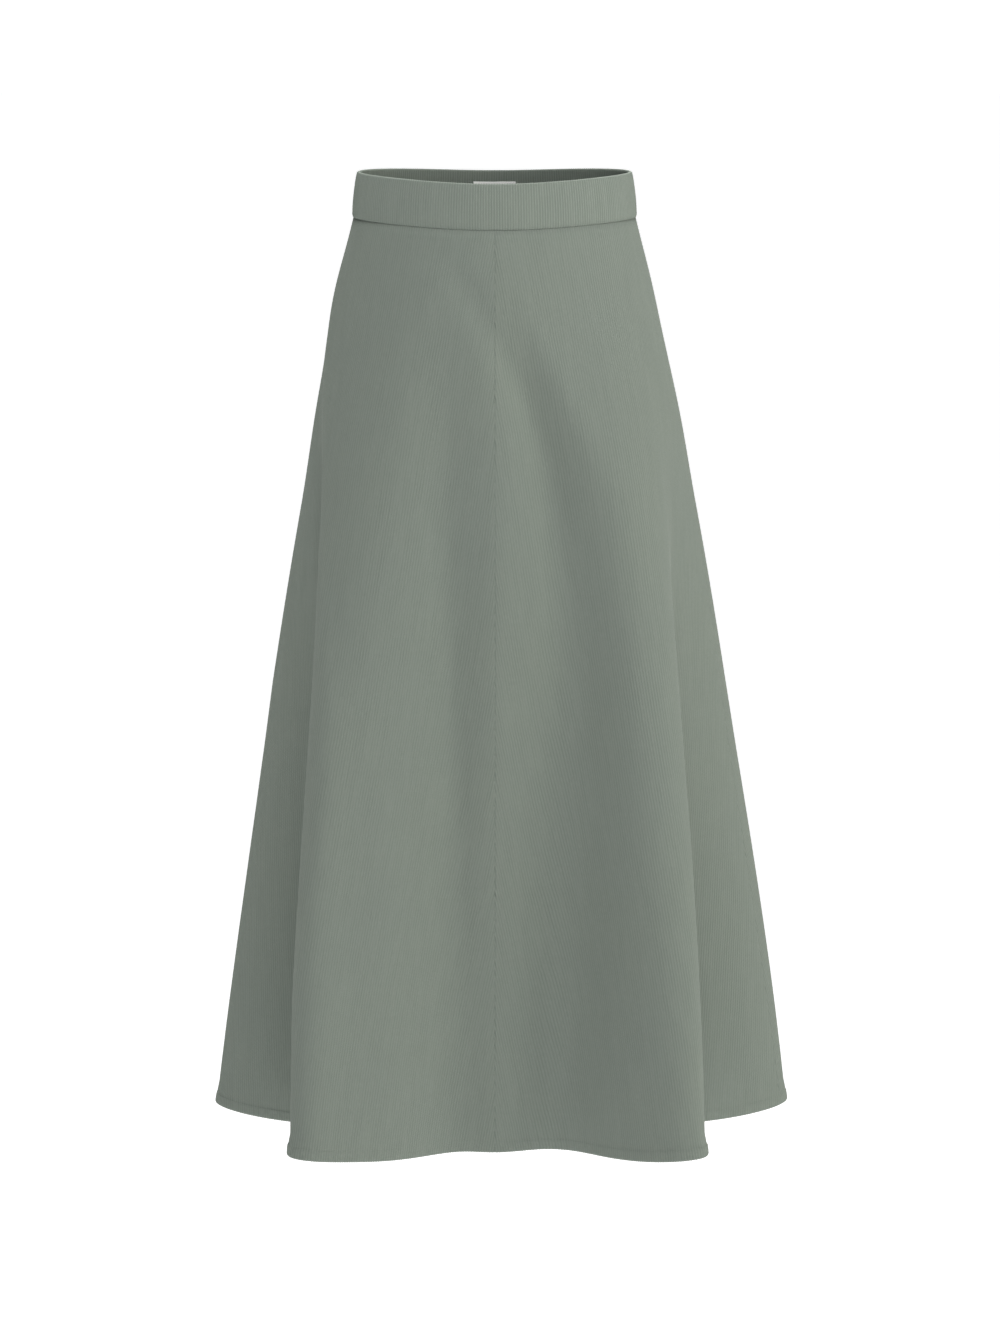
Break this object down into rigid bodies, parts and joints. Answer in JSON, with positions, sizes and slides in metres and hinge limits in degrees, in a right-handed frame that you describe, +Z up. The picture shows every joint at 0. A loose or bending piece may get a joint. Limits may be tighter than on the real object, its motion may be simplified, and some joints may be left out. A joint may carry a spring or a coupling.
{
  "type": "knit a-line skirt",
  "caption": "Midi-length A-line skirt of rib knit with a folded waistband and soft flutes that widen to the hem, standing open and hollow as worn.",
  "frame": {"origin": "centre of the waist, half way up the waistband, where the wearer holds the skirt", "axes": "+Z up along the body, the front faces -Y, +X is the wearer's left"},
  "size_m": [0.5514, 0.4383, 0.9043],
  "materials": {
    "rib_knit": "matte sage rib knit",
    "label_tape": "plain white woven tape"
  },
  "bodies": {
    "root": {"waistband": "rib_knit", "front_left": "rib_knit", "front_right": "rib_knit", "back_left": "rib_knit", "back_right": "rib_knit", "label": "label_tape"}
  },
  "joints": []
}
